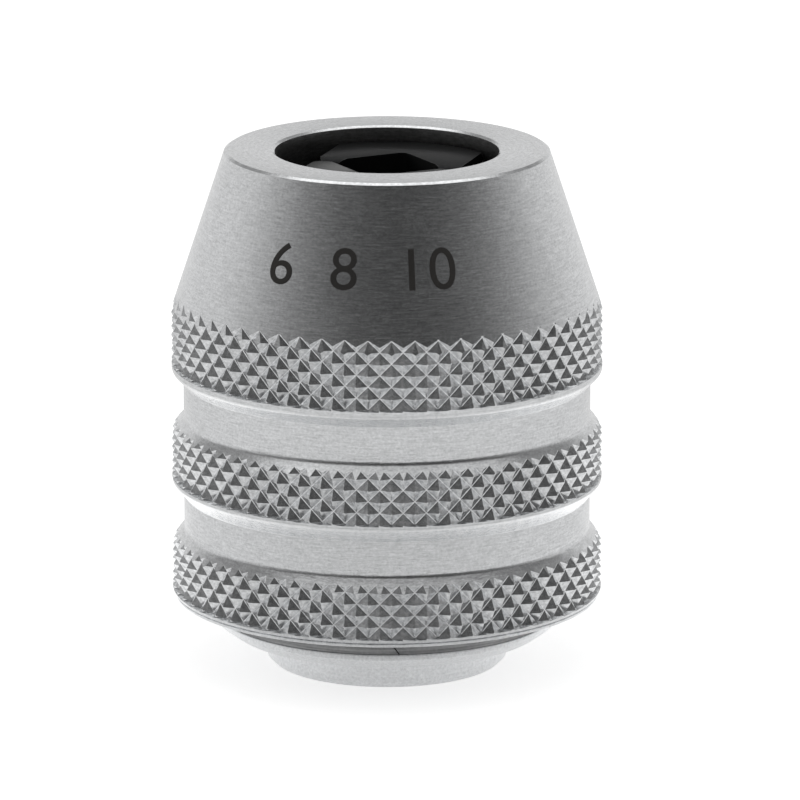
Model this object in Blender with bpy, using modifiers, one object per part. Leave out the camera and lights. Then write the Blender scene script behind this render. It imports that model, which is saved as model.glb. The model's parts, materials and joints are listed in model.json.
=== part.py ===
import math

import bmesh
import bpy
from mathutils import Matrix, Vector

for old in list(bpy.data.objects):
    bpy.data.objects.remove(old, do_unlink=True)

mm = 0.001

# Tap range: across-flats size of the square that the two V jaws close on
smallest_tap_square = 4.96 * mm
shown_extra_square = 0.41 * mm
further_extra_square = 1.70 * mm

# Jaws
jaw_length = 17.65 * mm
jaw_foot = 6.05 * mm
jaw_back_wall = 3.0 * mm
jaw_lobe = 1.16 * mm
jaw_corner_chamfer = 0.6 * mm
jaw_face_allowance = 0.02 * mm
jaw_line_angle = math.radians(45.0)

# Springs between the jaws
spring_wire_radius = 0.15 * mm
spring_coil_radius = 0.85 * mm
spring_turns = 9
spring_seat_depth = 4.3 * mm
spring_hole_wall = 1.0 * mm
spring_clearance = 0.25 * mm

# Drive hub with its square socket and ball groove
drive_square = 9.6 * mm
drive_depth = 11.0 * mm
drive_corner_radius = 0.8 * mm
hub_wall = 1.1 * mm
hub_height = 2.05 * mm
hub_edge_chamfer = 0.35 * mm
ball_groove_distance = 4.6 * mm
ball_groove_width = 2.6 * mm
ball_groove_depth = 0.75 * mm

# Flange, split ring and threaded core
flange_step = 3.2 * mm
flange_thickness = 0.98 * mm
flange_bevel_width = 0.9 * mm
flange_bevel_height = 0.65 * mm
ring_thickness = 1.2 * mm
ring_height = 2.2 * mm
ring_side_clearance = 0.12 * mm
ring_split_width = 0.7 * mm
ring_split_angle = math.radians(245.3)
core_step = 0.75 * mm
core_web = 3.0 * mm
guide_recess = 5.8 * mm

# Clamping sleeve
cone_half_angle = math.radians(15.0)
skirt_wall = 2.45 * mm
rim_width = 3.22 * mm
mouth_depth = 0.97 * mm
mouth_chamfer = 0.15 * mm
rim_edge_chamfer = 0.15 * mm
sleeve_end_gap = 0.34 * mm
groove_depth = 0.74 * mm
rear_edge_height = 0.4 * mm
rear_edge_step = 0.12 * mm
rear_band = 2.84 * mm
rear_band_chamfer = 0.94 * mm
rear_groove = 2.21 * mm
middle_band_lower_chamfer = 1.08 * mm
middle_band = 3.05 * mm
middle_band_upper_chamfer = 0.83 * mm
front_groove = 2.26 * mm
front_band_chamfer = 0.94 * mm
front_band = 3.61 * mm

# Diamond knurl of the three bands
knurl_count = 58
knurl_depth = 0.4 * mm

# Clearances
running_gap = 0.3 * mm
jaw_gap = 0.2 * mm
slot_gap = 0.15 * mm

# Facets
round_steps = 72
knurl_steps = knurl_count * 2
weld_distance = 0.00001
cutter_margin = 1.0 * mm

# Jaw sizes worked out from the tap range
shown_tap_square = smallest_tap_square + shown_extra_square
vee_reach = shown_tap_square / math.sqrt(2)
jaw_closing = shown_extra_square / math.sqrt(2)
jaw_opening = further_extra_square / math.sqrt(2)
jaw_face = jaw_closing + jaw_face_allowance
jaw_half_width = vee_reach - jaw_face + jaw_lobe

# Radii, from the socket outwards
drive_corner_reach = (drive_square / 2 - drive_corner_radius) * math.sqrt(2) + drive_corner_radius
hub_radius = drive_corner_reach + hub_wall
flange_radius = hub_radius + flange_step
core_radius = flange_radius - core_step
thread_bore_radius = core_radius + running_gap
skirt_bore_radius = flange_radius + running_gap
grip_radius = skirt_bore_radius + skirt_wall
groove_radius = grip_radius - groove_depth
mouth_radius = vee_reach + jaw_back_wall + jaw_gap
rim_radius = mouth_radius + rim_width
ring_outer_radius = flange_radius
ring_inner_radius = ring_outer_radius - ring_thickness
ring_groove_radius = ring_inner_radius - ring_side_clearance * 2
jaw_straight_radius = thread_bore_radius - jaw_gap - jaw_opening

# Heights, from the hub's rear face upwards
cone_slope = math.tan(cone_half_angle)
closing_travel = jaw_closing / cone_slope
flange_top = hub_height + flange_thickness
ring_bottom = flange_top + ring_side_clearance
ring_top = ring_bottom + ring_height
collar_bottom = ring_top + ring_side_clearance
sleeve_rear = flange_top + closing_travel + sleeve_end_gap
skirt_bore_top = collar_bottom + closing_travel + running_gap
slot_floor = drive_depth + core_web
jaw_bottom = slot_floor + slot_gap
vee_floor = jaw_bottom + jaw_foot
jaw_top = jaw_bottom + jaw_length
rim_height = jaw_top + mouth_depth
cone_bottom = jaw_top - (thread_bore_radius - mouth_radius) / cone_slope
guide_top = jaw_top - guide_recess

# Bands and grooves of the sleeve, from its rear end upwards
rear_band_bottom = sleeve_rear + rear_edge_height
rear_band_top = rear_band_bottom + rear_band
rear_groove_bottom = rear_band_top + rear_band_chamfer
rear_groove_top = rear_groove_bottom + rear_groove
middle_band_bottom = rear_groove_top + middle_band_lower_chamfer
middle_band_top = middle_band_bottom + middle_band
front_groove_bottom = middle_band_top + middle_band_upper_chamfer
front_groove_top = front_groove_bottom + front_groove
front_band_bottom = front_groove_top + front_band_chamfer
front_band_top = front_band_bottom + front_band
nose_slope = (grip_radius - rim_radius) / (rim_height - rim_edge_chamfer - front_band_top)

# Knurl: diamonds as high as they are wide, so that its lines cross at a right angle
knurl_pitch = math.tau * grip_radius / knurl_count
valley_radius = grip_radius - knurl_depth

parts = bpy.data.collections.new("tap_chuck")
cutters = bpy.data.collections.new("cutters")
bpy.context.scene.collection.children.link(parts)
bpy.context.scene.collection.children.link(cutters)


def make_material(name, colour, roughness, metallic):
    material = bpy.data.materials.new(name)
    material.use_nodes = True
    shader = material.node_tree.nodes["Principled BSDF"]
    shader.inputs["Base Color"].default_value = (*colour, 1.0)
    shader.inputs["Roughness"].default_value = roughness
    shader.inputs["Metallic"].default_value = metallic
    return material


satin_chrome = make_material("satin_chrome", (0.62, 0.63, 0.64), 0.34, 1.0)
turned_steel = make_material("turned_steel", (0.66, 0.66, 0.67), 0.30, 1.0)
black_oxide = make_material("black_oxide", (0.06, 0.06, 0.065), 0.45, 0.9)
dark_spring_steel = make_material("dark_spring_steel", (0.22, 0.22, 0.23), 0.40, 1.0)
bright_wire = make_material("bright_wire", (0.55, 0.55, 0.56), 0.30, 1.0)


def add_object(name, data, collection):
    made = bpy.data.objects.new(name, data)
    collection.objects.link(made)
    if collection == cutters:
        made.hide_render = True
        made.display_type = "WIRE"
    return made


def turned(name, profile, steps, collection, closed=False):
    """A profile of (radius, height) points that runs down its outer side, turned about +Z."""
    mesh = bpy.data.meshes.new(name)
    points = [(radius, 0.0, height) for radius, height in profile]
    edges = [(index, index + 1) for index in range(len(points) - 1)]
    if closed:
        edges.append((len(points) - 1, 0))
    mesh.from_pydata(points, edges, [])
    made = add_object(name, mesh, collection)
    screw = made.modifiers.new("Turn", "SCREW")
    screw.axis = "Z"
    screw.angle = math.tau
    screw.steps = steps
    screw.render_steps = steps
    screw.use_merge_vertices = True
    screw.merge_threshold = weld_distance
    screw.use_smooth_shade = False
    return made


def made_mesh(source, name, collection):
    """The source object with its modifiers applied, as a new mesh object in its place."""
    graph = bpy.context.evaluated_depsgraph_get()
    graph.update()
    mesh = bpy.data.meshes.new_from_object(source.evaluated_get(graph))
    made = add_object(name, mesh, collection)
    made.matrix_world = source.matrix_world.copy()
    bpy.data.objects.remove(source, do_unlink=True)
    shell = bmesh.new()
    shell.from_mesh(mesh)
    bmesh.ops.remove_doubles(shell, verts=shell.verts, dist=weld_distance)
    shell.to_mesh(mesh)
    shell.free()
    return made


def block(name, low, high, collection, turn=0.0, edge_radius=0.0, edge_segments=1, edges_at=None):
    """A box between two corners, with its upright edges rounded or chamfered, turned about +Z."""
    centre = (Vector(low) + Vector(high)) / 2
    size = Vector(high) - Vector(low)
    shape = bmesh.new()
    bmesh.ops.create_cube(shape, size=1.0)
    bmesh.ops.scale(shape, vec=size, verts=shape.verts)
    bmesh.ops.translate(shape, vec=centre, verts=shape.verts)
    if edge_radius:
        upright = []
        for edge in shape.edges:
            first, second = edge.verts
            if abs(first.co.z - second.co.z) < size.z / 2:
                continue
            if edges_at is None or abs(first.co.x - edges_at) < weld_distance:
                upright.append(edge)
        bmesh.ops.bevel(
            shape, geom=upright, offset=edge_radius, segments=edge_segments,
            profile=0.5, affect="EDGES", clamp_overlap=True,
        )
    mesh = bpy.data.meshes.new(name)
    shape.to_mesh(mesh)
    shape.free()
    made = add_object(name, mesh, collection)
    made.rotation_euler.z = turn
    return made


def bore(name, radius, depth, matrix, steps=24):
    shape = bmesh.new()
    bmesh.ops.create_cone(
        shape, cap_ends=True, segments=steps, radius1=radius, radius2=radius,
        depth=depth, matrix=matrix,
    )
    mesh = bpy.data.meshes.new(name)
    shape.to_mesh(mesh)
    shape.free()
    return add_object(name, mesh, cutters)


def boolean(target, tool, operation="DIFFERENCE"):
    modifier = target.modifiers.new(f"{operation.title()} {tool.name}", "BOOLEAN")
    modifier.operation = operation
    modifier.solver = "EXACT"
    modifier.object = tool


def finish(made, material):
    made.data.materials.clear()
    made.data.materials.append(material)
    made.data.shade_smooth()
    made.data.set_sharp_from_angle(angle=math.radians(30.0))


def cone_radius_at(height):
    """Radius of the sleeve's inner cone at rest."""
    return mouth_radius + (jaw_top - height) * cone_slope


def make_body():
    """Hub, flange, ring groove and threaded core, with a conical front that guides the jaws."""
    front_radius = cone_radius_at(guide_top + closing_travel) - running_gap
    front_bottom = guide_top - (core_radius - front_radius) / cone_slope
    profile = [
        (0.0, guide_top),
        (front_radius, guide_top),
        (core_radius, front_bottom),
        (core_radius, collar_bottom),
        (ring_groove_radius, collar_bottom),
        (ring_groove_radius, flange_top),
        (flange_radius, flange_top),
        (flange_radius, hub_height + flange_bevel_height),
        (flange_radius - flange_bevel_width, hub_height),
        (hub_radius, hub_height),
        (hub_radius, hub_edge_chamfer),
        (hub_radius - hub_edge_chamfer, 0.0),
        (0.0, 0.0),
    ]
    body = turned("body", profile, round_steps, parts)

    half_drive = drive_square / 2
    socket = block(
        "drive_socket", (-half_drive, -half_drive, -cutter_margin), (half_drive, half_drive, drive_depth),
        cutters, edge_radius=drive_corner_radius, edge_segments=3,
    )
    boolean(body, socket)

    groove_reach = half_drive + ball_groove_depth
    groove_profile = [
        (0.0, ball_groove_distance + ball_groove_width / 2),
        (half_drive, ball_groove_distance + ball_groove_width / 2),
        (groove_reach, ball_groove_distance + ball_groove_width / 4),
        (groove_reach, ball_groove_distance - ball_groove_width / 4),
        (half_drive, ball_groove_distance - ball_groove_width / 2),
        (0.0, ball_groove_distance - ball_groove_width / 2),
    ]
    boolean(body, turned("ball_groove", groove_profile, round_steps, cutters))

    slot_half_width = jaw_half_width + slot_gap
    slot = block(
        "jaw_slot", (-core_radius * 2, -slot_half_width, slot_floor),
        (core_radius * 2, slot_half_width, guide_top + cutter_margin), cutters, turn=jaw_line_angle,
    )
    boolean(body, slot)
    finish(body, turned_steel)


def make_split_ring():
    """Dark spring-steel ring above the flange, open at one place so that it springs into its groove."""
    profile = [
        (ring_outer_radius, ring_top),
        (ring_outer_radius, ring_bottom),
        (ring_inner_radius, ring_bottom),
        (ring_inner_radius, ring_top),
    ]
    ring = turned("split_ring", profile, round_steps, parts, closed=True)
    split = block(
        "ring_split", (0.0, -ring_split_width / 2, ring_bottom - cutter_margin),
        (ring_outer_radius * 2, ring_split_width / 2, ring_top + cutter_margin), cutters,
        turn=ring_split_angle,
    )
    boolean(ring, split)
    finish(ring, dark_spring_steel)


def knurl_rows(bottom, top):
    """Heights of the rows of diamond points and crossings between two heights, half a pitch apart."""
    count = max(2, round((top - bottom) / (knurl_pitch / 2)))
    return [bottom + (top - bottom) * index / count for index in range(count + 1)]


def outer_radius_at(height):
    """Radius of the grip, or of the nose cone above it."""
    return grip_radius - max(0.0, height - front_band_top) * nose_slope


def band_rows():
    """The knurl's rows on each band; the front band's run out one row up the nose cone."""
    front_rows = knurl_rows(front_band_bottom, front_band_top)
    front_rows.append(front_band_top + knurl_pitch / 2)
    return [
        knurl_rows(rear_band_bottom, rear_band_top),
        knurl_rows(middle_band_bottom, middle_band_top),
        front_rows,
    ]


def sleeve_outline(rows_by_band):
    """The sleeve's outer side from the nose rim down."""
    rear_rows, middle_rows, front_rows = (
        [(outer_radius_at(height), height) for height in reversed(rows)] for rows in rows_by_band
    )
    return [
        (0.0, rim_height),
        (rim_radius - rim_edge_chamfer, rim_height),
        (rim_radius, rim_height - rim_edge_chamfer),
        *front_rows,
        (groove_radius, front_groove_top),
        (groove_radius, front_groove_bottom),
        *middle_rows,
        (groove_radius, rear_groove_top),
        (groove_radius, rear_groove_bottom),
        *rear_rows,
        (grip_radius - rear_edge_step, sleeve_rear),
        (0.0, sleeve_rear),
    ]


def press_knurl(mesh, rows_by_band):
    """Pushes every second point of the knurl's rows down to the valleys and folds each face along them."""
    shell = bmesh.new()
    shell.from_mesh(mesh)
    sector = math.tau / knurl_steps
    crossings = set()
    for vert in shell.verts:
        radius = math.hypot(vert.co.x, vert.co.y)
        if radius <= valley_radius:
            continue
        column = round(math.atan2(vert.co.y, vert.co.x) / sector)
        for rows in rows_by_band:
            row = min(range(len(rows)), key=lambda index: abs(rows[index] - vert.co.z))
            if abs(rows[row] - vert.co.z) < weld_distance and (row + column) % 2:
                vert.co.x *= valley_radius / radius
                vert.co.y *= valley_radius / radius
                crossings.add(vert)
    for face in list(shell.faces):
        low = [vert for vert in face.verts if vert in crossings]
        if len(face.verts) == 4 and len(low) == 2:
            bmesh.utils.face_split(face, low[0], low[1])
    shell.to_mesh(mesh)
    shell.free()


def make_sleeve():
    """Grip sleeve: its inner cone presses the jaws together as the sleeve is screwed down the core."""
    rows_by_band = band_rows()
    blank = turned("sleeve_blank", sleeve_outline(rows_by_band), knurl_steps, parts)
    sleeve = made_mesh(blank, "sleeve", parts)
    press_knurl(sleeve.data, rows_by_band)
    bore_profile = [
        (0.0, rim_height + cutter_margin),
        (mouth_radius + mouth_chamfer + cutter_margin, rim_height + cutter_margin),
        (mouth_radius, rim_height - mouth_chamfer),
        (mouth_radius, jaw_top),
        (thread_bore_radius, cone_bottom),
        (thread_bore_radius, skirt_bore_top),
        (skirt_bore_radius, skirt_bore_top),
        (skirt_bore_radius, sleeve_rear - cutter_margin),
        (0.0, sleeve_rear - cutter_margin),
    ]
    boolean(sleeve, turned("sleeve_bore", bore_profile, round_steps, cutters))
    finish(sleeve, satin_chrome)


def make_jaws():
    """Two equal jaws facing each other, each with a 90 degree vee above a solid foot."""
    half_width = jaw_half_width
    blank = block(
        "jaw_front", (jaw_face, -half_width, jaw_bottom), (core_radius, half_width, jaw_top),
        parts, turn=jaw_line_angle, edge_radius=jaw_corner_chamfer, edges_at=jaw_face,
    )
    blank.matrix_world = Matrix.Rotation(jaw_line_angle, 4, "Z")

    back_top_radius = mouth_radius - jaw_gap
    back_bottom = jaw_top - (jaw_straight_radius - back_top_radius) / cone_slope
    cone_overrun = cutter_margin * cone_slope
    envelope_profile = [
        (0.0, jaw_top + cutter_margin),
        (back_top_radius - cone_overrun, jaw_top + cutter_margin),
        (jaw_straight_radius, back_bottom),
        (jaw_straight_radius, jaw_bottom - cutter_margin),
        (0.0, jaw_bottom - cutter_margin),
    ]
    boolean(blank, turned("jaw_envelope", envelope_profile, round_steps, cutters), "INTERSECT")

    half_square = shown_tap_square / 2
    tap_square = block(
        "tap_square", (-half_square, -half_square, vee_floor),
        (half_square, half_square, jaw_top + cutter_margin), cutters,
    )
    boolean(blank, tap_square)

    for side in (-1, 1):
        centre = spring_place(side)
        along = Matrix.Rotation(math.pi / 2, 4, "Y")
        placed = Matrix.Rotation(jaw_line_angle, 4, "Z") @ Matrix.Translation(centre) @ along
        hole = bore(
            f"spring_hole_{side}", spring_hole_radius, (jaw_face + spring_seat_depth) * 2, placed,
        )
        boolean(blank, hole)

    front = made_mesh(blank, "jaw_a", parts)
    finish(front, black_oxide)
    rear = add_object("jaw_b", front.data.copy(), parts)
    rear.matrix_world = Matrix.Rotation(math.pi, 4, "Z") @ front.matrix_world


spring_hole_radius = spring_coil_radius + spring_wire_radius + spring_clearance
spring_offset = jaw_half_width - spring_hole_wall - spring_hole_radius
spring_height = jaw_bottom + jaw_foot / 2


def spring_place(side):
    """Middle of a spring before the jaws are turned to their line, one on each side of it."""
    return Vector((0.0, side * spring_offset, spring_height))


def make_spring(name, side):
    """Compression spring of round wire that lies across the gap, with one closed coil at each end."""
    half_length = jaw_face + spring_seat_depth - spring_clearance
    points_per_turn = 12
    count = spring_turns * points_per_turn
    closed_rise = spring_wire_radius * 2.2
    open_rise = (half_length * 2 - spring_wire_radius * 2 - closed_rise * 2) / (spring_turns - 2)
    curve = bpy.data.curves.new(name, "CURVE")
    curve.dimensions = "3D"
    curve.bevel_depth = spring_wire_radius
    curve.bevel_resolution = 2
    curve.use_fill_caps = True
    helix = curve.splines.new("POLY")
    helix.points.add(count)
    along = spring_wire_radius - half_length
    for index in range(count + 1):
        turn = index / points_per_turn
        angle = turn * math.tau
        across = math.cos(angle) * spring_coil_radius
        upward = math.sin(angle) * spring_coil_radius
        helix.points[index].co = (along, across, upward, 1.0)
        closed = turn < 1 or turn >= spring_turns - 1
        along += (closed_rise if closed else open_rise) / points_per_turn
    spring = add_object(name, curve, parts)
    spring.matrix_world = Matrix.Rotation(jaw_line_angle, 4, "Z") @ Matrix.Translation(spring_place(side))
    curve.materials.append(bright_wire)


make_body()
make_split_ring()
make_sleeve()
make_jaws()
make_spring("jaw_spring_a", -1)
make_spring("jaw_spring_b", 1)
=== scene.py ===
import json
import math

import bpy
from mathutils import Matrix, Vector

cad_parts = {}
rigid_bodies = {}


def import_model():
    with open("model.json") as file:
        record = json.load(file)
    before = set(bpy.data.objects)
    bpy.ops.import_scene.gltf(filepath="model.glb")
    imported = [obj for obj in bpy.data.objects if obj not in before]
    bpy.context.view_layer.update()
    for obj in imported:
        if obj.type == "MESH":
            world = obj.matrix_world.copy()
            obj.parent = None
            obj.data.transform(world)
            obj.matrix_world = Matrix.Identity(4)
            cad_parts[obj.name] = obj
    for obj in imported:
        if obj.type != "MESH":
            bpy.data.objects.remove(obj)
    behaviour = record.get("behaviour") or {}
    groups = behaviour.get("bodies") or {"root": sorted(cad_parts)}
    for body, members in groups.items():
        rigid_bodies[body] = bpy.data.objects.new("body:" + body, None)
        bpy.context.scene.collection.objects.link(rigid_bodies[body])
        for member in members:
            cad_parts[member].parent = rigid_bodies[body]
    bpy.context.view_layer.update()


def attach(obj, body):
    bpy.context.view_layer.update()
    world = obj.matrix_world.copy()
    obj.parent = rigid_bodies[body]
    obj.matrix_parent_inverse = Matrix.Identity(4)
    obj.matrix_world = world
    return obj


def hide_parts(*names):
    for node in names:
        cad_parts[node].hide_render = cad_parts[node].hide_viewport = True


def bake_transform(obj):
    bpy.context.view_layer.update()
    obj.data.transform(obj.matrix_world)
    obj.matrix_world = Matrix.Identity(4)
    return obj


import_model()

mm = 0.001
nearly = 1e-6

# The picture: where the camera stands and what it looks at
viewing = {
    "turn": math.radians(27.7),      # the camera looks this far round from +Y towards +X
    "distance": 453.7 * mm,
    "height": 129.8 * mm,
    "aimHeight": 16.66 * mm,
    "lens": 335.25,
    "sensor": 36.0,
    "shiftX": 0.01625,
    "clipStart": 10 * mm,
}
towardsCamera = Vector((-math.sin(viewing["turn"]), -math.cos(viewing["turn"]), 0.0))
frontAngle = math.atan2(towardsCamera.y, towardsCamera.x)
jawAngle = math.radians(45.0)

# Modelling: steps of round shapes, smoothing angles, and a length that clears the whole chuck, in millimetres
arcSteps = 4
turnSteps = 240
socketSteps = 120
smoothAngle = 30
wireSmoothAngle = 60
clearOfAll = 20
uprightLength = 5 * mm


# Small helpers for modelling in edit mode

def deselectAll():
    for other in bpy.context.view_layer.objects:
        other.select_set(False)


def makeActive(piece):
    deselectAll()
    piece.select_set(True)
    bpy.context.view_layer.objects.active = piece


def startEdit(piece, mode="VERT"):
    makeActive(piece)
    bpy.ops.object.mode_set(mode="EDIT")
    bpy.ops.mesh.select_mode(type=mode)


def endEdit():
    bpy.ops.object.mode_set(mode="OBJECT")


def named(name):
    piece = bpy.context.view_layer.objects.active
    piece.name = name
    piece.data.name = name
    return piece


def selectWhere(piece, kind, test):
    # selects vertices, edges or faces for which the test is true, and leaves edit mode open
    bpy.ops.object.mode_set(mode="OBJECT")
    mesh = piece.data
    for vert in mesh.vertices:
        vert.select = False
    for edge in mesh.edges:
        edge.select = False
    for face in mesh.polygons:
        face.select = False
    chosen = {"VERT": mesh.vertices, "EDGE": mesh.edges, "FACE": mesh.polygons}[kind]
    for item in chosen:
        if test(item):
            item.select = True
    bpy.ops.object.mode_set(mode="EDIT")
    bpy.ops.mesh.select_mode(type=kind)


def isUpright(piece, edge):
    # true for an edge that runs a good way up the piece
    first, second = (piece.data.vertices[index].co.z for index in edge.vertices)
    return abs(first - second) > uprightLength


def applyPlace(piece):
    makeActive(piece)
    bpy.ops.object.transform_apply(location=True, rotation=True, scale=True)


def applyModifier(piece, kind, **settings):
    makeActive(piece)
    modifier = piece.modifiers.new(kind, kind)
    for setting, value in settings.items():
        setattr(modifier, setting, value)
    bpy.ops.object.modifier_apply(modifier=modifier.name)


def applyBoolean(piece, tool, operation="DIFFERENCE"):
    applyModifier(
        piece, "BOOLEAN", operation=operation, solver="EXACT", object=tool, material_mode="TRANSFER",
    )
    bpy.data.objects.remove(tool, do_unlink=True)


def outwardNormals(piece):
    startEdit(piece)
    bpy.ops.mesh.select_all(action="SELECT")
    bpy.ops.mesh.remove_doubles(threshold=nearly)
    bpy.ops.mesh.normals_make_consistent(inside=False)
    endEdit()


def smoothBelow(piece, degrees):
    makeActive(piece)
    bpy.ops.object.shade_smooth_by_angle(angle=math.radians(degrees))


def softened(corners):
    # (radius, height, fillet) corners in millimetres; a corner with a fillet becomes a short arc
    points = []
    count = len(corners)
    for index, (radius, height, fillet) in enumerate(corners):
        here = Vector((radius, height))
        if not fillet:
            points.append(here)
            continue
        before = (Vector(corners[index - 1][:2]) - here).normalized()
        after = (Vector(corners[(index + 1) % count][:2]) - here).normalized()
        half = before.angle(after) / 2
        reach = fillet / math.tan(half)
        centre = here + (before + after).normalized() * (fillet / math.sin(half))
        first = here + before * reach - centre
        last = here + after * reach - centre
        for step in range(arcSteps + 1):
            mixed = first.lerp(last, step / arcSteps)
            points.append(centre + mixed.normalized() * fillet)
    return [(point.x * mm, point.y * mm) for point in points]


def turnedPiece(name, corners, steps, closed=False):
    # draws the outline by extruding one point, then spins it about the chuck's axis
    outline = softened(corners)
    deselectAll()
    bpy.ops.mesh.primitive_plane_add(size=1 * mm, location=(0, 0, 0))
    piece = named(name)
    startEdit(piece)
    bpy.ops.mesh.select_all(action="SELECT")
    bpy.ops.mesh.merge(type="CENTER")
    bpy.ops.transform.translate(value=(outline[0][0], 0, outline[0][1]))
    for (fromRadius, fromHeight), (radius, height) in zip(outline, outline[1:]):
        bpy.ops.mesh.extrude_region_move(
            TRANSFORM_OT_translate={"value": (radius - fromRadius, 0, height - fromHeight)}
        )
    bpy.ops.mesh.select_all(action="SELECT")
    if closed:
        endEdit()
        ends = {0, len(piece.data.vertices) - 1}
        selectWhere(piece, "VERT", lambda vert: vert.index in ends)
        bpy.ops.mesh.edge_face_add()
        bpy.ops.mesh.select_all(action="SELECT")
    bpy.ops.mesh.spin(steps=steps, angle=math.tau, center=(0, 0, 0), axis=(0, 0, 1))
    bpy.ops.mesh.select_all(action="SELECT")
    bpy.ops.mesh.remove_doubles(threshold=nearly)
    bpy.ops.mesh.normals_make_consistent(inside=False)
    endEdit()
    return piece


def boxPiece(name, low, high):
    size = [(b - a) * mm for a, b in zip(low, high)]
    centre = [(a + b) / 2 * mm for a, b in zip(low, high)]
    deselectAll()
    bpy.ops.mesh.primitive_cube_add(size=1, location=centre, scale=size)
    piece = named(name)
    applyPlace(piece)
    return piece


# Materials

class Wire:
    # a value on its way through a material; arithmetic on it adds Math nodes
    def __init__(self, sheet, socket):
        self.sheet = sheet
        self.socket = socket

    def combine(self, operation, *others):
        values = dict(enumerate((self, *others)))
        return self.sheet.add("ShaderNodeMath", {"operation": operation}, values)

    def __add__(self, other):
        return self.combine("ADD", other)

    def __sub__(self, other):
        return self.combine("SUBTRACT", other)

    def __mul__(self, other):
        return self.combine("MULTIPLY", other)

    def __truediv__(self, other):
        return self.combine("DIVIDE", other)

    def __pow__(self, other):
        return self.combine("POWER", other)

    def __rsub__(self, other):
        return self.sheet.add("ShaderNodeMath", {"operation": "SUBTRACT"}, {0: other, 1: self})

    __radd__ = __add__
    __rmul__ = __mul__

    def clamped(self):
        return self.sheet.add("ShaderNodeClamp", {}, {"Value": self})


class Sheet:
    # the node tree of one material or of the world
    def __init__(self, owner):
        owner.use_nodes = True
        self.tree = owner.node_tree
        self.tree.nodes.clear()

    def add(self, kind, settings=None, inputs=None, output=0):
        node = self.tree.nodes.new(kind)
        for setting, value in (settings or {}).items():
            setattr(node, setting, value)
        for socket, value in (inputs or {}).items():
            if isinstance(value, Wire):
                self.tree.links.new(value.socket, node.inputs[socket])
            else:
                node.inputs[socket].default_value = value
        return Wire(self, node.outputs[output]) if node.outputs else None

    def blend(self, factor, first, second, kind="MIX"):
        # a colour mix; sockets 6 and 7 are the colour pair, output 2 the colour result
        settings = {"data_type": "RGBA", "blend_type": kind}
        return self.add("ShaderNodeMix", settings, {0: factor, 6: first, 7: second}, 2)


def grey(level, blue=0.0):
    return (level * (1 - blue), level, level * (1 + blue), 1.0)


markSlant = 0.7    # how far turning marks follow the radius, so that flat faces have them too


def roundCoordinates(sheet, across, along):
    # a vector that runs slowly round the chuck's axis and quickly along it, for turning marks
    place = sheet.add("ShaderNodeTexCoord", {}, {}, "Object")
    parts = sheet.add("ShaderNodeSeparateXYZ", {}, {0: place})
    x, y, z = (Wire(sheet, parts.socket.node.outputs[index]) for index in range(3))
    radius = (x * x + y * y) ** 0.5 + nearly
    return sheet.add("ShaderNodeCombineXYZ", {}, {
        "X": x / radius * across,
        "Y": y / radius * across,
        "Z": (z + radius * markSlant) * along,
    })


def metalMaterial(name, finish):
    # steel with turning marks round the axis, cloudy polish and fine grain
    material = bpy.data.materials.new(name)
    sheet = Sheet(material)
    place = sheet.add("ShaderNodeTexCoord", {}, {}, "Object")
    marks = sheet.add("ShaderNodeTexNoise", {}, {
        "Vector": roundCoordinates(sheet, finish["markLength"], finish["marksPerMetre"]),
        "Scale": 1.0, "Detail": 4.0, "Roughness": 0.65,
    })
    clouds = sheet.add("ShaderNodeTexNoise", {}, {
        "Vector": place, "Scale": finish["cloudScale"], "Detail": 3.0, "Roughness": 0.55,
    })
    grain = sheet.add("ShaderNodeTexNoise", {}, {
        "Vector": place, "Scale": finish["grainScale"], "Detail": 2.0, "Roughness": 0.6,
    })
    shade = 1.0 + (marks - 0.5) * finish["markContrast"] + (grain - 0.5) * finish["grainContrast"]
    shade = shade + (clouds - 0.5) * finish["cloudContrast"]
    shadeColour = sheet.add("ShaderNodeCombineColor", {}, {0: shade, 1: shade, 2: shade})
    base = finish["colour"]
    if "lighterSpot" in finish:
        # a lighter spot round a given middle point
        away = sheet.add("ShaderNodeVectorMath", {"operation": "DISTANCE"}, {
            0: place, 1: finish["lighterSpot"]["middle"],
        }, 1)
        spotShare = sheet.add("ShaderNodeMapRange", {"interpolation_type": "SMOOTHSTEP"}, {
            "Value": away, "From Min": finish["lighterSpot"]["reach"], "From Max": finish["lighterSpot"]["core"],
        })
        base = sheet.blend(spotShare, base, finish["lighterSpot"]["colour"])
    colour = sheet.blend(1.0, base, shadeColour, "MULTIPLY")
    roughness = finish["roughness"] + (clouds - 0.5) * finish["cloudRoughness"]
    roughness = roughness + (marks - 0.5) * finish["markRoughness"]
    bump = sheet.add("ShaderNodeBump", {}, {
        "Strength": finish["bump"], "Distance": finish["bumpDepth"],
        "Height": marks * finish["markHeight"] + grain * finish["grainHeight"],
    })
    shader = sheet.add("ShaderNodeBsdfPrincipled", {}, {
        "Base Color": colour,
        "Metallic": finish["metallic"],
        "Roughness": roughness.clamped(),
        "Anisotropic": finish["stretch"],
        "Anisotropic Rotation": 0.25,
        "Normal": bump,
    })
    sheet.add("ShaderNodeOutputMaterial", {}, {"Surface": shader})
    return material


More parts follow.
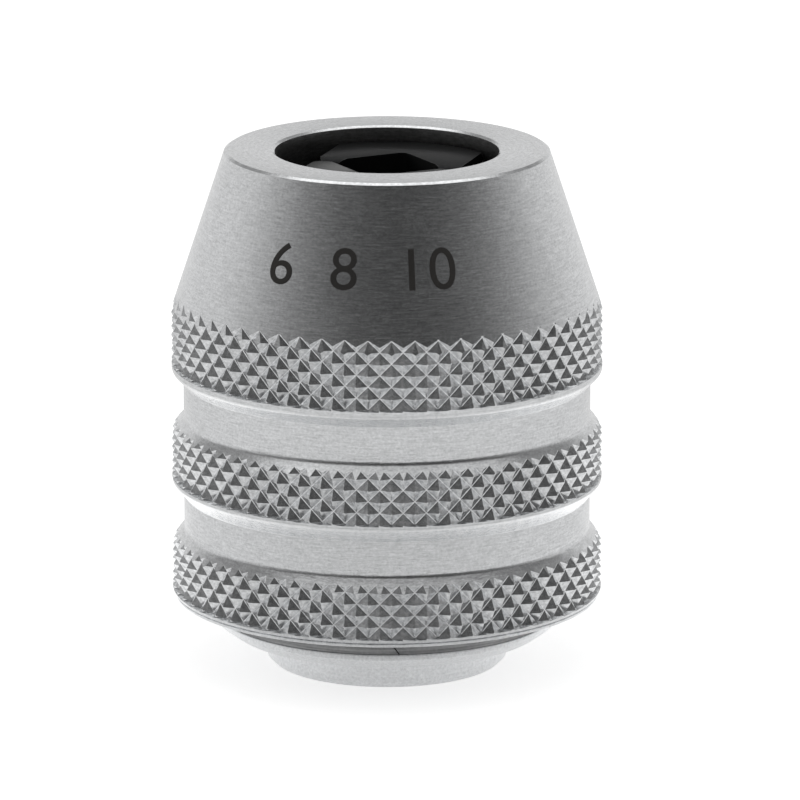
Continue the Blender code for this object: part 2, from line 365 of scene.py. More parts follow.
satinFinish = {
    "colour": grey(0.75, 0.012), "metallic": 1.0, "roughness": 0.19, "stretch": 0.6,
    "markLength": 13.0, "marksPerMetre": 11000.0, "markContrast": 0.78, "bump": 0.7,
    "cloudScale": 160.0, "cloudContrast": 0.10, "grainScale": 6000.0, "grainContrast": 0.55,
    "cloudRoughness": 0.10, "markRoughness": 0.12,
    "bumpDepth": 0.02 * mm, "markHeight": 0.7, "grainHeight": 0.3,
}
knurlFinish = dict(
    satinFinish, colour=grey(0.76, 0.012), roughness=0.22, stretch=0.0, markContrast=0.08, bump=0.16,
    grainScale=4200.0, grainContrast=1.1,
)
# a lighter steel for the bands' downward chamfers and fillets: painted highlight
chamferHighlightFinish = dict(satinFinish, colour=grey(0.96, 0.012), markContrast=0.4)
# a dark steel for the sleeve's bore and the ring's groove in the body: painted shade, with streaky turning
# marks
boreShadeFinish = dict(satinFinish, colour=grey(0.26), roughness=0.36, stretch=0.3, markContrast=1.5)
turnedFinish = dict(
    satinFinish, colour=grey(0.80, 0.012), roughness=0.30, markLength=4.0, markContrast=0.22, bump=0.25,
)
blackFinish = dict(
    satinFinish, colour=grey(0.017, 0.03), roughness=0.42, stretch=0.0, metallic=0.85,
    markContrast=0.05, bump=0.10, cloudContrast=0.5, grainContrast=1.2,
)
# the near jaw's black with a lighter spot at its top
nearJawSpotFinish = dict(blackFinish, lighterSpot={
    "middle": (-2.8 * mm, 0.5 * mm, 31.8 * mm), "reach": 2.4 * mm, "core": 0.48 * mm, "colour": grey(0.16),
})
# a lighter black for the jaws' bevelled edges: painted highlight
edgeHighlightFinish = dict(blackFinish, colour=grey(0.12, 0.02), roughness=0.34)
# a darker black for jaw faces that don't face up: painted shade on their sides and in the vee
shadeBlackFinish = dict(blackFinish, colour=grey(0.004, 0.03), roughness=0.6)
ringFinish = dict(
    satinFinish, colour=grey(0.26, 0.01), roughness=0.34, stretch=0.2, markLength=1.5,
    marksPerMetre=6000.0, markContrast=2.6,
)
wireFinish = dict(satinFinish, colour=grey(0.50, 0.01), roughness=0.28, stretch=0.0)
socketFinish = dict(satinFinish, colour=grey(0.45, 0.01), roughness=0.34, stretch=0.0, markContrast=0.1)
markFinish = dict(
    satinFinish, colour=(0.014, 0.012, 0.010, 1.0), roughness=0.62, stretch=0.0, metallic=0.0,
    markContrast=0.3, bump=0.15, cloudContrast=0.5, grainContrast=0.6,
)

satinSteel = metalMaterial("satinSteel", satinFinish)
knurlSteel = metalMaterial("knurlSteel", knurlFinish)
chamferHighlightSteel = metalMaterial("chamferHighlightSteel", chamferHighlightFinish)
boreShadeSteel = metalMaterial("boreShadeSteel", boreShadeFinish)
turnedSteel = metalMaterial("turnedSteel", turnedFinish)
blackSteel = metalMaterial("blackSteel", blackFinish)
nearJawSpotSteel = metalMaterial("nearJawSpotSteel", nearJawSpotFinish)
edgeHighlightBlack = metalMaterial("edgeHighlightBlack", edgeHighlightFinish)
shadeBlack = metalMaterial("shadeBlack", shadeBlackFinish)
ringSteel = metalMaterial("ringSteel", ringFinish)
socketSteel = metalMaterial("socketSteel", socketFinish)
markInk = metalMaterial("markInk", markFinish)
wireSteel = metalMaterial("wireSteel", wireFinish)
print("materials made")


# Grip sleeve: radii and heights in millimetres from the hub's rear face
sleeveSizes = {
    "rim": 32.77, "rimRadius": 10.17, "rimEdge": 0.2, "edgeSlope": 0.62, "rimFillet": 0.02,
    "mouthRadius": 7.0, "mouthChamfer": 0.18, "mouthBottom": 31.8,
    "coneSlope": math.tan(math.radians(15.0)), "boreRadius": 10.3,
    "gripRadius": 13.5, "grooveRadius": 12.76, "toolNose": 0.42, "edge": 0.06, "bandEdge": 0.4,
    "frontTop": 22.61, "frontBottom": 18.84, "aboveKnurl": 24.15,
    "frontGrooveTop": 18.10, "frontGrooveBottom": 15.77,
    "middleTop": 14.97, "middleBottom": 11.74,
    "rearGrooveTop": 10.86, "rearGrooveBottom": 8.63,
    "rearTop": 7.69, "rearBottom": 4.64,
    "lineHeight": 4.48, "lineWidth": 0.06, "lineDepth": 0.06, "landRadius": 13.40,
    "rear": 4.31, "rearEdge": 0.08,
    "skirtRadius": 11.05, "skirtTop": 6.9,
    "boreReach": 0.9, "lipShare": 1.2, "facingDown": -0.1,    # what counts as bore, with painted shade, and as lower chamfers, with a painted highlight
    "steps": 360, "smooth": 24,
}
knurlSizes = {
    "grooves": (58, 57), "depth": 0.40, "crest": 0.03, "rowStep": 0.7225,
    "bottom": 3.9, "rows": 30, "capTop": 34.0, "phase": math.radians(4.33), "rowZero": 13.49,
    "valleyFlat": 0.03, "plain": ((15.6, 19.21), (9.5, 11.985), (3.0, 4.76)), "runOut": 0.06,
    "lastRow": 23.2, "lastLift": 0.05, "rimRows": 2.5,
}


def makeKnurl():
    # a tube of pyramids: every second grid point is pressed down, the grid is cut along the valleys.
    # one more groove runs one way than the other, so the rows of diamonds climb by one row a turn
    sizes = knurlSizes
    peak = (sleeveSizes["gripRadius"] + sizes["crest"]) * mm
    valley = (sleeveSizes["gripRadius"] - sizes["depth"]) * mm
    columns = sum(sizes["grooves"])
    step = sizes["rowStep"] * mm
    lift = round((sizes["rowZero"] - sizes["bottom"]) * mm / step)
    bottom = sizes["rowZero"] * mm - lift * step
    rows = sizes["rows"]
    deselectAll()
    bpy.ops.mesh.primitive_grid_add(x_subdivisions=columns, y_subdivisions=rows, size=1)
    tube = named("knurlTube")
    for vert in tube.data.vertices:
        column = round((vert.co.x + 0.5) * columns)
        row = round((vert.co.y + 0.5) * rows)
        angle = frontAngle + sizes["phase"] + column * math.tau / columns
        height = bottom + (row - column / columns) * step
        radius = valley if (column + row + lift) % 2 else peak
        if radius == valley and height / mm > sizes["lastRow"]:
            radius += sizes["lastLift"] * mm
        vert.co = (radius * math.cos(angle), radius * math.sin(angle), height)
    middle = (peak + valley) / 2
    startEdit(tube)
    bpy.ops.mesh.select_all(action="SELECT")
    bpy.ops.mesh.remove_doubles(threshold=nearly)
    selectWhere(tube, "VERT", lambda vert: vert.co.xy.length < middle)
    bpy.ops.mesh.vert_connect()
    selectWhere(tube, "EDGE", lambda edge: all(
        tube.data.vertices[index].co.xy.length < middle for index in edge.vertices
    ))
    bpy.ops.mesh.bevel(offset=sizes["valleyFlat"] * mm, segments=1, affect="EDGES")
    # between the bands, and on the plain strip below each, the tube stands clear of the sleeve
    for low, high in sizes["plain"]:
        for cut in (low - sizes["runOut"], low, high, high + sizes["runOut"]):
            bpy.ops.mesh.select_all(action="SELECT")
            bpy.ops.mesh.bisect(plane_co=(0, 0, cut * mm), plane_no=(0, 0, 1), threshold=nearly / 10)
    endEdit()
    for vert in tube.data.vertices:
        if any(low * mm - nearly < vert.co.z < high * mm + nearly for low, high in sizes["plain"]):
            vert.co.xy *= peak / vert.co.xy.length
    # the tube is closed above the nose and below the rear face, clear of what it cuts
    for end, height in ((max, sizes["capTop"] * mm), (min, bottom - 1 * mm)):
        bpy.ops.object.mode_set(mode="OBJECT")
        shared = {}
        for face in tube.data.polygons:
            for key in face.edge_keys:
                shared[key] = shared.get(key, 0) + 1
        rimHeight = end(vert.co.z for vert in tube.data.vertices)
        loop = {
            key for key, uses in shared.items()
            if uses == 1 and abs(tube.data.vertices[key[0]].co.z - rimHeight) < step * sizes["rimRows"]
        }
        selectWhere(tube, "EDGE", lambda edge: edge.key in loop)
        bpy.ops.mesh.extrude_region_move(
            TRANSFORM_OT_translate={"value": (0, 0, height - rimHeight)}
        )
        bpy.ops.transform.resize(value=(1, 1, 0), center_override=(0, 0, height))
        bpy.ops.mesh.edge_face_add()
    endEdit()
    outwardNormals(tube)
    tube.data.materials.append(knurlSteel)
    return tube


def makeSleeve():
    s = sleeveSizes
    nose = s["toolNose"]
    fillet = s["rimFillet"]
    coneBottom = s["mouthBottom"] - (s["boreRadius"] - s["mouthRadius"]) / s["coneSlope"]
    noseSlope = (s["gripRadius"] - s["rimRadius"]) / (s["rim"] - s["frontTop"])
    sleeve = turnedPiece("gripSleeve", [
        (s["mouthRadius"] + s["mouthChamfer"], s["rim"], fillet),
        (s["rimRadius"] - s["rimEdge"], s["rim"], fillet),
        (s["rimRadius"], s["rim"] - s["rimEdge"] * s["edgeSlope"], fillet),
        (s["gripRadius"] - (s["aboveKnurl"] - s["frontTop"]) * noseSlope, s["aboveKnurl"], 0),
        (s["gripRadius"], s["frontTop"], 0),
        (s["gripRadius"], s["frontBottom"], s["bandEdge"]),
        (s["grooveRadius"], s["frontGrooveTop"], s["edge"]),
        (s["grooveRadius"], s["frontGrooveBottom"], nose),
        (s["gripRadius"], s["middleTop"], 0),
        (s["gripRadius"], s["middleBottom"], s["bandEdge"]),
        (s["grooveRadius"], s["rearGrooveTop"], s["edge"]),
        (s["grooveRadius"], s["rearGrooveBottom"], nose),
        (s["gripRadius"], s["rearTop"], 0),
        (s["gripRadius"], s["rearBottom"], 0),
        (s["landRadius"], s["lineHeight"] + s["lineWidth"], 0),
        (s["landRadius"] - s["lineDepth"], s["lineHeight"] + s["lineWidth"] / 2, 0),
        (s["landRadius"], s["lineHeight"], 0),
        (s["landRadius"], s["rear"], s["rearEdge"]),
        (s["skirtRadius"], s["rear"], s["edge"] * 2),
        (s["skirtRadius"], s["skirtTop"], 0),
        (s["boreRadius"], s["skirtTop"], s["edge"] * 2),
        (s["boreRadius"], coneBottom, 0),
        (s["mouthRadius"], s["mouthBottom"], 0),
        (s["mouthRadius"], s["rim"] - s["mouthChamfer"] * s["edgeSlope"], fillet),
    ], s["steps"], closed=True)
    sleeve.data.materials.append(satinSteel)
    sleeve.data.materials.append(boreShadeSteel)
    sleeve.data.materials.append(chamferHighlightSteel)
    for face in sleeve.data.polygons:
        radius = face.center.xy.length / mm
        height = face.center.z / mm
        belowLip = height < s["rim"] - s["mouthChamfer"] * s["lipShare"]
        onBand = radius > s["grooveRadius"] and height > s["rearGrooveBottom"]
        # bore faces below the lip get the dark steel: painted shade
        if radius < s["boreRadius"] + s["boreReach"] and belowLip:
            face.material_index = 1
        # the bands' downward faces get the lighter steel, a painted highlight
        elif onBand and face.normal.z < s["facingDown"]:
            face.material_index = 2
    applyBoolean(sleeve, makeKnurl(), "INTERSECT")
    smoothBelow(sleeve, s["smooth"])
    # the knurl's own faces stay flat and keep hard borders with the turned ones
    knurlIndex = sleeve.data.materials.find(knurlSteel.name)
    selectWhere(sleeve, "FACE", lambda face: face.material_index == knurlIndex)
    bpy.ops.mesh.faces_shade_flat()
    bpy.ops.mesh.region_to_loop()
    bpy.ops.mesh.mark_sharp()
    endEdit()
    applyModifier(sleeve, "WEIGHTED_NORMAL", keep_sharp=True)
    return sleeve


sleeve = makeSleeve()
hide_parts("sleeve")
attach(sleeve, "sleeve")
print("sleeve made:", len(sleeve.data.polygons), "faces")


# Body: drive hub, flange and threaded core
bodySizes = {
    "hubRadius": 7.557, "hubTop": 2.05, "hubEdge": 0.35, "hubCorner": 0.25,
    "flangeRadius": 10.757, "flangeTop": 3.09, "bevelWidth": 0.9, "bevelHeight": 0.65, "flangeEdge": 0.08,
    "ringGrooveRadius": 9.317, "ringGrooveTop": 5.47, "collarTop": 6.05, "coreRadius": 10.0,
    "grooveFillet": 0.1, "smallFillet": 0.05, "frontFillet": 0.15, "coreChamfer": 0.5,
    "rootRadius": 9.2, "threadStart": 6.3, "threadPitch": 1.5, "threadTurns": 7, "threadCrest": 0.2,
    "threadSunk": 0.3, "threadFoot": 0.06, "threadLean": 0.04, "threadGap": 0.001, "threadSteps": 96,
    "frontRadius": 7.96, "frontTop": 26.0,
    "square": 9.6, "squareDepth": 11.0, "squareCorner": 0.8, "squareSteps": 6,
    "leadDepth": 2.5, "leadInset": 0.4, "leadRim": 0.35, "leadBelow": 0.05,
    "ballGroove": 4.6, "ballWidth": 2.6, "ballDepth": 0.75, "ballFillet": 0.3,
    "slotHalfWidth": 4.80, "slotFloor": 14.0,
    "shadeTop": 6.0, "shadeMargin": 0.1,    # which faces lie in the ring's groove; they get painted shade
}


def makeThread():
    # the ridge: a flat-topped tooth carried round and up the core
    b = bodySizes
    foot = (b["threadPitch"] - b["threadCrest"]) / 2
    sunk = b["rootRadius"] - b["threadSunk"]
    tooth = [
        (sunk, 0.0),
        (b["rootRadius"], b["threadFoot"]),
        (b["coreRadius"], foot - b["threadLean"]),
        (b["coreRadius"], foot + b["threadCrest"] + b["threadLean"]),
        (b["rootRadius"], b["threadPitch"] - b["threadFoot"]),
        (sunk, b["threadPitch"] - b["threadGap"]),
    ]
    deselectAll()
    bpy.ops.mesh.primitive_circle_add(vertices=len(tooth), radius=1 * mm)
    ridge = named("threadRidge")
    for vert, (radius, height) in zip(ridge.data.vertices, tooth):
        vert.co = (radius * mm, 0, (b["threadStart"] + height) * mm)
    applyModifier(
        ridge, "SCREW", axis="Z", angle=math.tau, screw_offset=b["threadPitch"] * mm,
        iterations=b["threadTurns"], steps=b["threadSteps"], render_steps=b["threadSteps"],
        use_merge_vertices=False,
    )
    startEdit(ridge)
    bpy.ops.mesh.select_all(action="DESELECT")
    bpy.ops.mesh.select_non_manifold()
    bpy.ops.mesh.edge_face_add()
    endEdit()
    outwardNormals(ridge)
    return ridge


def makeBody():
    b = bodySizes
    coneFoot = b["frontTop"] - (b["rootRadius"] - b["frontRadius"]) / sleeveSizes["coneSlope"]
    body = turnedPiece("hubAndCore", [
        (0.0, b["frontTop"], 0),
        (b["frontRadius"], b["frontTop"], b["frontFillet"]),
        (b["rootRadius"], coneFoot, 0),
        (b["rootRadius"], b["collarTop"] + b["coreChamfer"], 0),
        (b["coreRadius"], b["collarTop"], 0),
        (b["coreRadius"], b["ringGrooveTop"], b["smallFillet"]),
        (b["ringGrooveRadius"], b["ringGrooveTop"], b["grooveFillet"]),
        (b["ringGrooveRadius"], b["flangeTop"], b["grooveFillet"]),
        (b["flangeRadius"], b["flangeTop"], b["flangeEdge"]),
        (b["flangeRadius"], b["hubTop"] + b["bevelHeight"], b["flangeEdge"]),
        (b["flangeRadius"] - b["bevelWidth"], b["hubTop"], b["flangeEdge"]),
        (b["hubRadius"], b["hubTop"], b["hubCorner"]),
        (b["hubRadius"], b["hubEdge"], b["smallFillet"]),
        (b["hubRadius"] - b["hubEdge"], 0.0, b["smallFillet"]),
        (0.0, 0.0, 0),
    ], turnSteps)
    body.data.materials.append(turnedSteel)
    body.data.materials.append(boreShadeSteel)
    # faces in the ring's groove get the dark bore steel: painted shade
    for face in body.data.polygons:
        radius = face.center.xy.length / mm
        height = face.center.z / mm
        inReach = radius < b["coreRadius"] + b["shadeMargin"]
        if inReach and b["flangeTop"] - b["shadeMargin"] < height < b["shadeTop"]:
            face.material_index = 1
    applyBoolean(body, makeThread(), "UNION")

    half = b["square"] / 2
    socket = boxPiece("driveSquare", (-half, -half, -1), (half, half, b["squareDepth"]))
    selectWhere(socket, "EDGE", lambda edge: isUpright(socket, edge))
    bpy.ops.mesh.bevel(offset=b["squareCorner"] * mm, segments=b["squareSteps"], affect="EDGES")
    endEdit()
    socket.data.materials.append(socketSteel)
    applyBoolean(body, socket)

    middle = b["ballGroove"]
    wide = b["ballWidth"] / 2
    groove = turnedPiece("ballGroove", [
        (0.0, middle + wide, 0), (half, middle + wide, 0),
        (half + b["ballDepth"], middle + wide / 2, b["ballFillet"]),
        (half + b["ballDepth"], middle - wide / 2, b["ballFillet"]),
        (half, middle - wide, 0), (0.0, middle - wide, 0),
    ], socketSteps)
    groove.data.materials.append(socketSteel)
    applyBoolean(body, groove)

    lead = turnedPiece("leadIn", [
        (0.0, b["leadDepth"], 0), (half - b["leadInset"], b["leadDepth"], 0),
        (half * math.sqrt(2) - b["leadRim"], -b["leadBelow"], 0), (0.0, -b["leadBelow"], 0),
    ], socketSteps)
    lead.data.materials.append(socketSteel)
    applyBoolean(body, lead)

    slotHalf = b["slotHalfWidth"]
    slot = boxPiece(
        "jawSlot", (-clearOfAll, -slotHalf, b["slotFloor"]), (clearOfAll, slotHalf, b["frontTop"] + 1),
    )
    slot.rotation_euler.z = jawAngle
    applyPlace(slot)
    applyBoolean(body, slot)
    smoothBelow(body, smoothAngle)
    applyModifier(body, "WEIGHTED_NORMAL", keep_sharp=True)
    return body


body = makeBody()
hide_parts("body")
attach(body, "body")
print("body made:", len(body.data.polygons), "faces")


# Split ring above the flange
ringSizes = {
    "outer": 10.757, "inner": 9.557, "bottom": 3.11, "top": 5.35, "edge": 0.04,
    "split": 0.07, "splitAngle": math.radians(245.3), "splitLean": math.radians(35.0), "splitHeight": 3.4,
    "cutReach": 3,
}


def makeSplitRing():
    r = ringSizes
    ring = turnedPiece("splitRing", [
        (r["outer"], r["top"], r["edge"]), (r["outer"], r["bottom"], r["edge"]),
        (r["inner"], r["bottom"], 0), (r["inner"], r["top"], 0),
    ], turnSteps, closed=True)
    ring.data.materials.append(ringSteel)
    half = r["split"] / 2
    cut = boxPiece("ringSplit", (0, -half, -r["cutReach"]), (clearOfAll, half, r["cutReach"]))
    cut.location.z = r["splitHeight"] * mm
    cut.rotation_euler = (r["splitLean"], 0, r["splitAngle"])
    applyPlace(cut)
    applyBoolean(ring, cut)
    smoothBelow(ring, smoothAngle)
    return ring


ring = makeSplitRing()
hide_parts("split_ring")
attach(ring, "split_ring")
print("split ring made")


# Jaws: two blackened blocks with a vee each, pressed together by the sleeve's inner cone
jawSizes = {
    "face": 0.31, "halfWidth": 4.65, "bottom": 14.15, "top": 31.8, "corner": 0.6,
    "backTop": 6.8, "back": 8.9, "square": 5.37, "veeFloor": 20.2, "veeCorner": 0.5, "edge": 0.10,
    "holeRadius": 1.25, "holeDepth": 4.3, "holeOffset": 2.4, "holeHeight": 17.175, "holeSides": 40,
    "blank": 12, "cornerSteps": 4, "veeSteps": 3, "edgeAngle": 32, "facingUp": 0.7,
}


def makeJaw(name, angle, steel):
    j = jawSizes
    jaw = boxPiece(name, (j["face"], -j["halfWidth"], j["bottom"]), (j["blank"], j["halfWidth"], j["top"]))
    jaw.data.materials.append(steel)
    jaw.data.materials.append(edgeHighlightBlack)
    jaw.data.materials.append(shadeBlack)
    selectWhere(jaw, "EDGE", lambda edge: isUpright(jaw, edge) and all(
        abs(jaw.data.vertices[index].co.x - j["face"] * mm) < nearly for index in edge.vertices
    ))
    bpy.ops.mesh.bevel(offset=j["corner"] * mm, segments=j["cornerSteps"], affect="EDGES")
    endEdit()
    jaw.rotation_euler.z = angle
    applyPlace(jaw)

    slope = sleeveSizes["coneSlope"]
    applyBoolean(jaw, turnedPiece("jawEnvelope", [
        (0.0, j["top"] + 1, 0), (j["backTop"] - slope, j["top"] + 1, 0),
        (j["back"], j["top"] - (j["back"] - j["backTop"]) / slope, 0),
        (j["back"], j["bottom"] - 1, 0), (0.0, j["bottom"] - 1, 0),
    ], turnSteps), "INTERSECT")
    half = j["square"] / 2
    square = boxPiece("tapSquare", (-half, -half, j["veeFloor"]), (half, half, j["top"] + 1))
    # the two corners of the square that lie in the vees get a small relief
    selectWhere(square, "EDGE", lambda edge: isUpright(square, edge) and all(
        square.data.vertices[index].co.x * square.data.vertices[index].co.y > 0 for index in edge.vertices
    ))
    bpy.ops.mesh.bevel(offset=j["veeCorner"] * mm, segments=j["veeSteps"], affect="EDGES")
    endEdit()
    applyBoolean(jaw, square)
    # jaw faces that don't face up get the darker black, painted shade; the tops keep the jaw's steel
    for face in jaw.data.polygons:
        face.material_index = 2 if face.normal.z < j["facingUp"] else 0
    # the bevel's faces get the lighter black, a painted highlight along the jaws' edges
    applyModifier(
        jaw, "BEVEL", width=j["edge"] * mm, segments=2, limit_method="ANGLE",
        angle_limit=math.radians(j["edgeAngle"]), material=1, use_clamp_overlap=True,
    )
    for side in (-1, 1):
        deselectAll()
        bpy.ops.mesh.primitive_cylinder_add(
            vertices=j["holeSides"], radius=j["holeRadius"] * mm,
            depth=(j["face"] + j["holeDepth"]) * 2 * mm,
            rotation=(0, math.pi / 2, jawAngle),
            location=(
                -side * j["holeOffset"] * mm * math.sin(jawAngle),
                side * j["holeOffset"] * mm * math.cos(jawAngle), j["holeHeight"] * mm,
            ),
        )
        hole = named("springHole")
        applyPlace(hole)
        hole.data.materials.append(blackSteel)
        applyBoolean(jaw, hole)
    smoothBelow(jaw, smoothAngle)
    return jaw


for name, node, angle, steel in (
    ("farJaw", "jaw_a", jawAngle, blackSteel), ("nearJaw", "jaw_b", jawAngle + math.pi, nearJawSpotSteel),
):
    jaw = makeJaw(name, angle, steel)
    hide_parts(node)
    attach(jaw, node)
print("jaws made")


# Springs between the jaws, each made in two halves
springSizes = {
    "coil": 0.85, "wire": 0.15, "turns": 4.5, "ring": 12, "steps": 28,
    "end": 4.3, "endGap": 0.25, "rideFrom": 4.0,    # past the jaw's face
}


def makeHalfSpring(name, side, outward):
    p = springSizes
    length = jawSizes["face"] + p["end"] - p["endGap"] - p["wire"]
    steps = round(p["steps"] * p["turns"])
    deselectAll()
    bpy.ops.mesh.primitive_circle_add(
        vertices=p["ring"], radius=p["wire"] * mm, rotation=(math.pi / 2, 0, 0),
        location=(p["coil"] * mm, 0, 0),
    )
    coil = named(name)
    applyPlace(coil)
    applyModifier(
        coil, "SCREW", axis="Z", angle=math.tau * p["turns"], screw_offset=length * mm,
        steps=steps, render_steps=steps, use_merge_vertices=False,
    )
    startEdit(coil)
    bpy.ops.mesh.select_all(action="DESELECT")
    bpy.ops.mesh.select_non_manifold()
    bpy.ops.mesh.edge_face_add()
    endEdit()
    outwardNormals(coil)
    # the coil's axis goes from +Z to the jaw line; the second half is turned about the radius
    # on which both halves start, so that they join there into one coil
    lie = Matrix.Rotation(math.pi / 2, 4, "Y")
    flip = Matrix.Rotation(0 if outward > 0 else math.pi, 4, "Z")
    across = Matrix.Translation((0, side * jawSizes["holeOffset"] * mm, jawSizes["holeHeight"] * mm))
    coil.matrix_world = Matrix.Rotation(jawAngle, 4, "Z") @ across @ flip @ lie
    applyPlace(coil)
    coil.data.materials.append(wireSteel)
    smoothBelow(coil, wireSmoothAngle)
    return coil


for node, side in (("jaw_spring_a", -1), ("jaw_spring_b", 1)):
    for jawNode, outward in (("jaw_a", 1), ("jaw_b", -1)):
        coil = makeHalfSpring(node + "_" + jawNode, side, outward)
        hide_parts(node)
        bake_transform(coil)
print("springs made")


# Size figures on the cone, plain numbers in a row
markSizes = {
    "figures": "6  8  10", "height": 2.6, "middle": 27.75,
    "turn": math.radians(-8.0), "lift": 0.012, "strip": 0.25, "spacing": 1.04, "curveSteps": 6,
}


def makeFigures():
    m = markSizes
    deselectAll()
    bpy.ops.object.text_add(location=(0, 0, 0))
    words = bpy.context.view_layer.objects.active
    words.data.body = m["figures"]
    words.data.align_x = "CENTER"
    words.data.align_y = "CENTER"
    words.data.space_character = m["spacing"]
    words.data.resolution_u = m["curveSteps"]
    makeActive(words)
    bpy.ops.object.convert(target="MESH")
    figures = named("sizeFigures")
    low = [min(vert.co[axis] for vert in figures.data.vertices) for axis in (0, 1)]
    high = [max(vert.co[axis] for vert in figures.data.vertices) for axis in (0, 1)]
    scale = m["height"] * mm / (high[1] - low[1])
    for vert in figures.data.vertices:
        vert.co.x = (vert.co.x - (low[0] + high[0]) / 2) * scale
        vert.co.y = (vert.co.y - (low[1] + high[1]) / 2) * scale
    # cut in narrow strips, so that the figures can bend round the cone
    startEdit(figures)
    reach = (high[0] - low[0]) / 2 * scale
    strips = int(reach / (m["strip"] * mm))
    for index in range(-strips, strips + 1):
        bpy.ops.mesh.select_all(action="SELECT")
        bpy.ops.mesh.bisect(plane_co=(index * m["strip"] * mm, 0, 0), plane_no=(1, 0, 0))
    endEdit()
    s = sleeveSizes
    slope = (s["gripRadius"] - s["rimRadius"]) / (s["rim"] - s["frontTop"])
    tilt = math.atan(slope)
    middleRadius = (s["gripRadius"] - (m["middle"] - s["frontTop"]) * slope) * mm
    for vert in figures.data.vertices:
        across, up = vert.co.x, vert.co.y
        angle = frontAngle + m["turn"] + across / middleRadius
        radius = middleRadius - up * math.sin(tilt) + m["lift"] * mm
        vert.co = (radius * math.cos(angle), radius * math.sin(angle), m["middle"] * mm + up * math.cos(tilt))
    outwardNormals(figures)
    figures.data.materials.append(markInk)
    smoothBelow(figures, wireSmoothAngle)
    return figures


figures = makeFigures()
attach(figures, "sleeve")
print("figures made")


# Studio: pale floor and walls, a lamp overhead, and a dark room in front for the metal to reflect
studio = {
    "floorSize": 6.0,
    "darkTurn": math.radians(10.0),    # the middle of the dark, from the camera towards the right
    "roomNear": 0.045,                 # room and floor brightness as the metal reflects it
    "roomFar": 0.71,
    "roomFrom": 1.25,
    "roomTo": -0.75,
    "wallTop": 0.24,
    "wallEnd": 0.46,
    "ceiling": 0.45,
    "lamp": 0.98,
    "lampSwing": 0.95,
    "lampFrom": 0.66,
    "lampFull": 0.90,
    "floorGrey": 0.5,
    "floorGlow": 0.66,                 # what the camera sees on top of the lit floor
    "floorNear": 0.60,
    "floorFar": 0.25,
    "floorFrom": 18 * mm,
    "floorTo": 38 * mm,
    "floorSwing": 0.42,
    "swingFrom": 20 * mm,
    "swingTo": 54 * mm,
    "besideShare": 0.35,
    "besideFrom": 12 * mm,
    "besideTo": 17 * mm,
    "least": 1e-4,
}


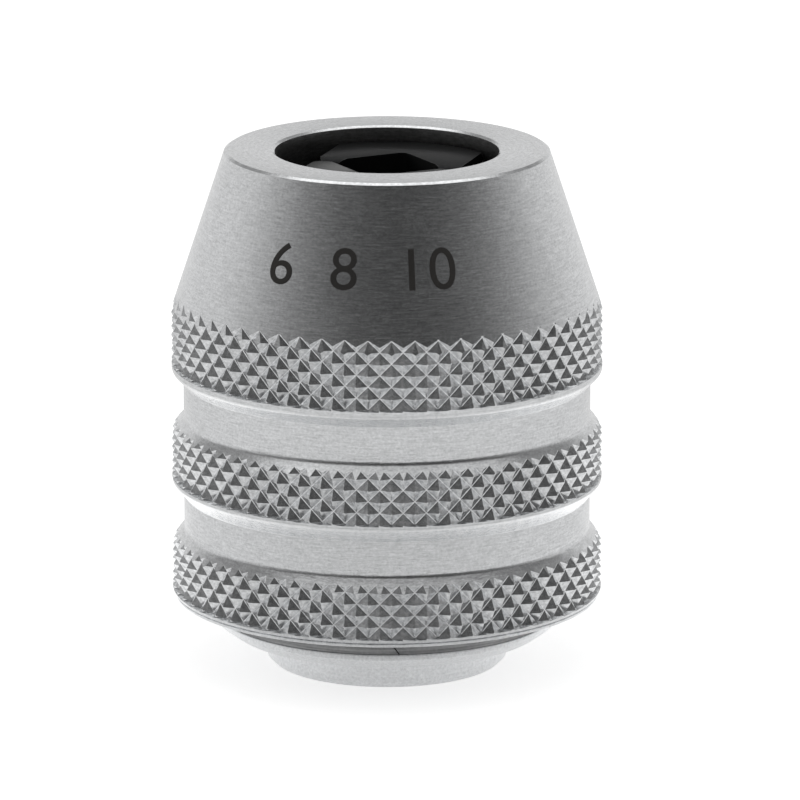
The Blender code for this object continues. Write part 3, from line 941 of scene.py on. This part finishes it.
def makeStudio():
    deselectAll()
    bpy.ops.mesh.primitive_plane_add(size=studio["floorSize"], location=(0, 0, 0))
    floor = named("floor")
    material = bpy.data.materials.new("paleFloor")
    sheet = Sheet(material)
    path = sheet.add("ShaderNodeLightPath").socket.node.outputs
    matt = sheet.add("ShaderNodeBsdfDiffuse", {}, {"Color": grey(studio["floorGrey"])})
    place = sheet.add("ShaderNodeTexCoord", {}, {}, "Object")
    away = sheet.add("ShaderNodeVectorMath", {"operation": "LENGTH"}, {0: place}, 1)
    forward = sheet.add("ShaderNodeVectorMath", {"operation": "DOT_PRODUCT"}, {
        0: place, 1: towardsCamera,
    }, 1)
    reflected = sheet.add("ShaderNodeMapRange", {"interpolation_type": "SMOOTHSTEP"}, {
        "Value": away, "From Min": studio["floorFrom"], "From Max": studio["floorTo"],
        "To Min": studio["floorNear"], "To Max": studio["floorFar"],
    })
    swing = sheet.add("ShaderNodeMapRange", {"interpolation_type": "SMOOTHSTEP"}, {
        "Value": away, "From Min": studio["swingFrom"], "From Max": studio["swingTo"],
        "To Min": studio["floorSwing"], "To Max": 0.0,
    })
    beside = sheet.add("ShaderNodeMapRange", {"interpolation_type": "SMOOTHSTEP"}, {
        "Value": away, "From Min": studio["besideFrom"], "From Max": studio["besideTo"],
        "To Min": studio["besideShare"], "To Max": 1.0,
    })
    reflected = reflected - forward / (away + studio["least"]) * swing * beside
    seen = Wire(sheet, path["Is Camera Ray"]) * studio["floorGlow"]
    mirrored = Wire(sheet, path["Is Glossy Ray"]) * reflected
    glow = sheet.add("ShaderNodeEmission", {}, {"Color": grey(1.0), "Strength": seen + mirrored})
    both = sheet.add("ShaderNodeAddShader", {}, {0: matt, 1: glow})
    sheet.add("ShaderNodeOutputMaterial", {}, {"Surface": both})
    floor.data.materials.append(material)

    world = bpy.data.worlds.new("studio")
    bpy.context.scene.world = world
    sheet = Sheet(world)
    direction = sheet.add("ShaderNodeTexCoord", {}, {}, "Generated")
    darkMiddle = Matrix.Rotation(studio["darkTurn"], 3, "Z") @ towardsCamera
    facing = sheet.add("ShaderNodeVectorMath", {"operation": "DOT_PRODUCT"}, {
        0: direction, 1: darkMiddle,
    }, 1)
    parts = sheet.add("ShaderNodeSeparateXYZ", {}, {0: direction})
    height = Wire(sheet, parts.socket.node.outputs["Z"])
    room = sheet.add("ShaderNodeMapRange", {"interpolation_type": "SMOOTHSTEP"}, {
        "Value": facing, "From Min": studio["roomTo"], "From Max": studio["roomFrom"],
        "To Min": studio["roomFar"], "To Max": studio["roomNear"],
    })
    wall = sheet.add("ShaderNodeMapRange", {"interpolation_type": "SMOOTHSTEP"}, {
        "Value": height, "From Min": studio["wallTop"], "From Max": studio["wallEnd"],
        "To Min": 1.0, "To Max": studio["ceiling"],
    })
    room = room * wall
    lamp = studio["lamp"] - facing * studio["lampSwing"]
    lampShare = sheet.add("ShaderNodeMapRange", {"interpolation_type": "SMOOTHSTEP"}, {
        "Value": height, "From Min": studio["lampFrom"], "From Max": studio["lampFull"],
    })
    shade = room * (1 - lampShare) + lampShare * lamp
    path = sheet.add("ShaderNodeLightPath").socket.node.outputs
    glossy = Wire(sheet, path["Is Glossy Ray"])
    strength = glossy * shade + (1 - glossy)
    background = sheet.add("ShaderNodeBackground", {}, {"Color": grey(1.0), "Strength": strength})
    sheet.add("ShaderNodeOutputWorld", {}, {"Surface": background})


def makeCamera():
    camera = bpy.data.objects.new("camera", bpy.data.cameras.new("camera"))
    bpy.context.scene.collection.objects.link(camera)
    place = towardsCamera * viewing["distance"] + Vector((0, 0, viewing["height"]))
    aim = Vector((0, 0, viewing["aimHeight"]))
    camera.location = place
    camera.rotation_euler = (aim - place).to_track_quat("-Z", "Y").to_euler()
    camera.data.sensor_width = viewing["sensor"]
    camera.data.lens = viewing["lens"]
    camera.data.shift_x = viewing["shiftX"]
    camera.data.clip_start = viewing["clipStart"]
    bpy.context.scene.camera = camera


makeStudio()
makeCamera()
bpy.context.scene.view_settings.view_transform = "Standard"
